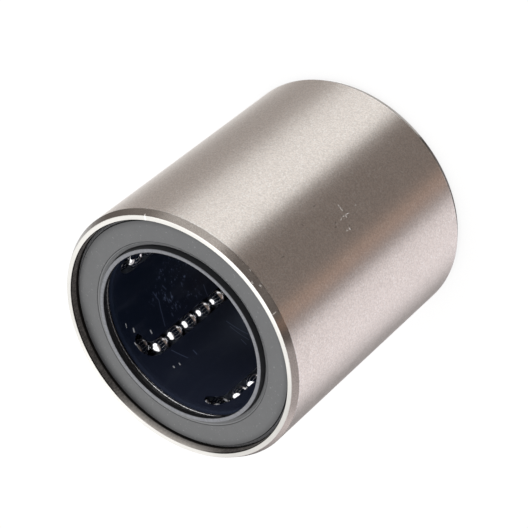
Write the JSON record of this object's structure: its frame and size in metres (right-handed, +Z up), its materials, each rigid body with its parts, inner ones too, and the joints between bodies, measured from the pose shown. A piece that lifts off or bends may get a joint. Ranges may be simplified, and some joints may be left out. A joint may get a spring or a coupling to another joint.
{
  "type": "linear ball bearing",
  "caption": "Closed linear ball bearing for a round shaft: ground steel sleeve with bevelled ends, recessed lip seals, and a dark cage whose recirculating ball rows show in the bore.",
  "frame": {"origin": "centre of the lower end face, on the bearing's axis", "axes": "+Z runs up the bearing's axis, along the shaft; one loaded ball row lies on the +Y side, and its return lane is beside it towards +X"},
  "size_m": [0.045, 0.045, 0.05],
  "materials": {
    "sleeve_steel": "satin",
    "ring_steel": "satin",
    "seal_rubber": "satin",
    "cage_plastic": "gloss",
    "ball_steel": "polished"
  },
  "bodies": {
    "sleeve_with_cage_and_seals": {"outer_sleeve": "sleeve_steel", "ball_cage": "cage_plastic", "bottom_seal": "seal_rubber", "top_seal": "seal_rubber", "bottom_end_ring": "ring_steel", "top_end_ring": "ring_steel"},
    "row_1_loaded": {"row_1_loaded_balls": "ball_steel"},
    "row_1_top_turn": {"row_1_top_turn_balls": "ball_steel"},
    "row_1_return": {"row_1_return_balls": "ball_steel"},
    "row_1_bottom_turn": {"row_1_bottom_turn_balls": "ball_steel"},
    "row_2_loaded": {"row_2_loaded_balls": "ball_steel"},
    "row_2_top_turn": {"row_2_top_turn_balls": "ball_steel"},
    "row_2_return": {"row_2_return_balls": "ball_steel"},
    "row_2_bottom_turn": {"row_2_bottom_turn_balls": "ball_steel"},
    "row_3_loaded": {"row_3_loaded_balls": "ball_steel"},
    "row_3_top_turn": {"row_3_top_turn_balls": "ball_steel"},
    "row_3_return": {"row_3_return_balls": "ball_steel"},
    "row_3_bottom_turn": {"row_3_bottom_turn_balls": "ball_steel"},
    "row_4_loaded": {"row_4_loaded_balls": "ball_steel"},
    "row_4_top_turn": {"row_4_top_turn_balls": "ball_steel"},
    "row_4_return": {"row_4_return_balls": "ball_steel"},
    "row_4_bottom_turn": {"row_4_bottom_turn_balls": "ball_steel"},
    "row_5_loaded": {"row_5_loaded_balls": "ball_steel"},
    "row_5_top_turn": {"row_5_top_turn_balls": "ball_steel"},
    "row_5_return": {"row_5_return_balls": "ball_steel"},
    "row_5_bottom_turn": {"row_5_bottom_turn_balls": "ball_steel"},
    "row_6_loaded": {"row_6_loaded_balls": "ball_steel"},
    "row_6_top_turn": {"row_6_top_turn_balls": "ball_steel"},
    "row_6_return": {"row_6_return_balls": "ball_steel"},
    "row_6_bottom_turn": {"row_6_bottom_turn_balls": "ball_steel"}
  },
  "joints": [
    {"name": "row_1_loaded_slide", "type": "slide", "parent": "sleeve_with_cage_and_seals", "child": "row_1_loaded", "axis": [0, 0, 1], "range_m": [-0.0032, 0.0008]},
    {"name": "row_1_return_slide", "type": "slide", "parent": "sleeve_with_cage_and_seals", "child": "row_1_return", "axis": [0, 0, -1], "range_m": [-0.0032, 0.0008]},
    {"name": "row_1_top_turn_swing", "type": "hinge", "parent": "sleeve_with_cage_and_seals", "child": "row_1_top_turn", "pos_m": [0.00283, 0.01699, 0.041], "axis": [0, 1, 0], "range_deg": [-72, 18]},
    {"name": "row_1_bottom_turn_swing", "type": "hinge", "parent": "sleeve_with_cage_and_seals", "child": "row_1_bottom_turn", "pos_m": [0.00283, 0.01699, 0.009], "axis": [0, 1, 0], "range_deg": [-72, 18]},
    {"name": "row_2_loaded_slide", "type": "slide", "parent": "sleeve_with_cage_and_seals", "child": "row_2_loaded", "axis": [0, 0, 1], "range_m": [-0.00265, 0.00135]},
    {"name": "row_2_return_slide", "type": "slide", "parent": "sleeve_with_cage_and_seals", "child": "row_2_return", "axis": [0, 0, -1], "range_m": [-0.00265, 0.00135]},
    {"name": "row_2_top_turn_swing", "type": "hinge", "parent": "sleeve_with_cage_and_seals", "child": "row_2_top_turn", "pos_m": [-0.0133, 0.01095, 0.041], "axis": [-0.866, 0.5, 0], "range_deg": [-59.63, 30.38]},
    {"name": "row_2_bottom_turn_swing", "type": "hinge", "parent": "sleeve_with_cage_and_seals", "child": "row_2_bottom_turn", "pos_m": [-0.0133, 0.01095, 0.009], "axis": [-0.866, 0.5, 0], "range_deg": [-59.63, 30.38]},
    {"name": "row_3_loaded_slide", "type": "slide", "parent": "sleeve_with_cage_and_seals", "child": "row_3_loaded", "axis": [0, 0, 1], "range_m": [-0.0014, 0.0026]},
    {"name": "row_3_return_slide", "type": "slide", "parent": "sleeve_with_cage_and_seals", "child": "row_3_return", "axis": [0, 0, -1], "range_m": [-0.0014, 0.0026]},
    {"name": "row_3_top_turn_swing", "type": "hinge", "parent": "sleeve_with_cage_and_seals", "child": "row_3_top_turn", "pos_m": [-0.01613, -0.00605, 0.041], "axis": [-0.866, -0.5, 0], "range_deg": [-31.5, 58.5]},
    {"name": "row_3_bottom_turn_swing", "type": "hinge", "parent": "sleeve_with_cage_and_seals", "child": "row_3_bottom_turn", "pos_m": [-0.01613, -0.00605, 0.009], "axis": [-0.866, -0.5, 0], "range_deg": [-31.5, 58.5]},
    {"name": "row_4_loaded_slide", "type": "slide", "parent": "sleeve_with_cage_and_seals", "child": "row_4_loaded", "axis": [0, 0, 1], "range_m": [-0.0005, 0.0035]},
    {"name": "row_4_return_slide", "type": "slide", "parent": "sleeve_with_cage_and_seals", "child": "row_4_return", "axis": [0, 0, -1], "range_m": [-0.0005, 0.0035]},
    {"name": "row_4_top_turn_swing", "type": "hinge", "parent": "sleeve_with_cage_and_seals", "child": "row_4_top_turn", "pos_m": [-0.00283, -0.01699, 0.041], "axis": [0, -1, 0], "range_deg": [-11.25, 78.75]},
    {"name": "row_4_bottom_turn_swing", "type": "hinge", "parent": "sleeve_with_cage_and_seals", "child": "row_4_bottom_turn", "pos_m": [-0.00283, -0.01699, 0.009], "axis": [0, -1, 0], "range_deg": [-11.25, 78.75]},
    {"name": "row_5_loaded_slide", "type": "slide", "parent": "sleeve_with_cage_and_seals", "child": "row_5_loaded", "axis": [0, 0, 1], "range_m": [-0.002, 0.002]},
    {"name": "row_5_return_slide", "type": "slide", "parent": "sleeve_with_cage_and_seals", "child": "row_5_return", "axis": [0, 0, -1], "range_m": [-0.002, 0.002]},
    {"name": "row_5_top_turn_swing", "type": "hinge", "parent": "sleeve_with_cage_and_seals", "child": "row_5_top_turn", "pos_m": [0.0133, -0.01095, 0.041], "axis": [0.866, -0.5, 0], "range_deg": [-45, 45]},
    {"name": "row_5_bottom_turn_swing", "type": "hinge", "parent": "sleeve_with_cage_and_seals", "child": "row_5_bottom_turn", "pos_m": [0.0133, -0.01095, 0.009], "axis": [0.866, -0.5, 0], "range_deg": [-45, 45]},
    {"name": "row_6_loaded_slide", "type": "slide", "parent": "sleeve_with_cage_and_seals", "child": "row_6_loaded", "axis": [0, 0, 1], "range_m": [-0.00295, 0.00105]},
    {"name": "row_6_return_slide", "type": "slide", "parent": "sleeve_with_cage_and_seals", "child": "row_6_return", "axis": [0, 0, -1], "range_m": [-0.00295, 0.00105]},
    {"name": "row_6_top_turn_swing", "type": "hinge", "parent": "sleeve_with_cage_and_seals", "child": "row_6_top_turn", "pos_m": [0.01613, 0.00605, 0.041], "axis": [0.866, 0.5, 0], "range_deg": [-66.38, 23.63]},
    {"name": "row_6_bottom_turn_swing", "type": "hinge", "parent": "sleeve_with_cage_and_seals", "child": "row_6_bottom_turn", "pos_m": [0.01613, 0.00605, 0.009], "axis": [0.866, 0.5, 0], "range_deg": [-66.38, 23.63]}
  ],
  "couplings": [
    {"joint": "row_1_return_slide", "follows": "row_1_loaded_slide", "ratio": 1},
    {"joint": "row_1_top_turn_swing", "follows": "row_1_loaded_slide", "rad_per_m": 392.7},
    {"joint": "row_1_bottom_turn_swing", "follows": "row_1_loaded_slide", "rad_per_m": 392.7},
    {"joint": "row_2_return_slide", "follows": "row_2_loaded_slide", "ratio": 1},
    {"joint": "row_2_top_turn_swing", "follows": "row_2_loaded_slide", "rad_per_m": 392.7},
    {"joint": "row_2_bottom_turn_swing", "follows": "row_2_loaded_slide", "rad_per_m": 392.7},
    {"joint": "row_3_return_slide", "follows": "row_3_loaded_slide", "ratio": 1},
    {"joint": "row_3_top_turn_swing", "follows": "row_3_loaded_slide", "rad_per_m": 392.7},
    {"joint": "row_3_bottom_turn_swing", "follows": "row_3_loaded_slide", "rad_per_m": 392.7},
    {"joint": "row_4_return_slide", "follows": "row_4_loaded_slide", "ratio": 1},
    {"joint": "row_4_top_turn_swing", "follows": "row_4_loaded_slide", "rad_per_m": 392.7},
    {"joint": "row_4_bottom_turn_swing", "follows": "row_4_loaded_slide", "rad_per_m": 392.7},
    {"joint": "row_5_return_slide", "follows": "row_5_loaded_slide", "ratio": 1},
    {"joint": "row_5_top_turn_swing", "follows": "row_5_loaded_slide", "rad_per_m": 392.7},
    {"joint": "row_5_bottom_turn_swing", "follows": "row_5_loaded_slide", "rad_per_m": 392.7},
    {"joint": "row_6_return_slide", "follows": "row_6_loaded_slide", "ratio": 1},
    {"joint": "row_6_top_turn_swing", "follows": "row_6_loaded_slide", "rad_per_m": 392.7},
    {"joint": "row_6_bottom_turn_swing", "follows": "row_6_loaded_slide", "rad_per_m": 392.7}
  ]
}
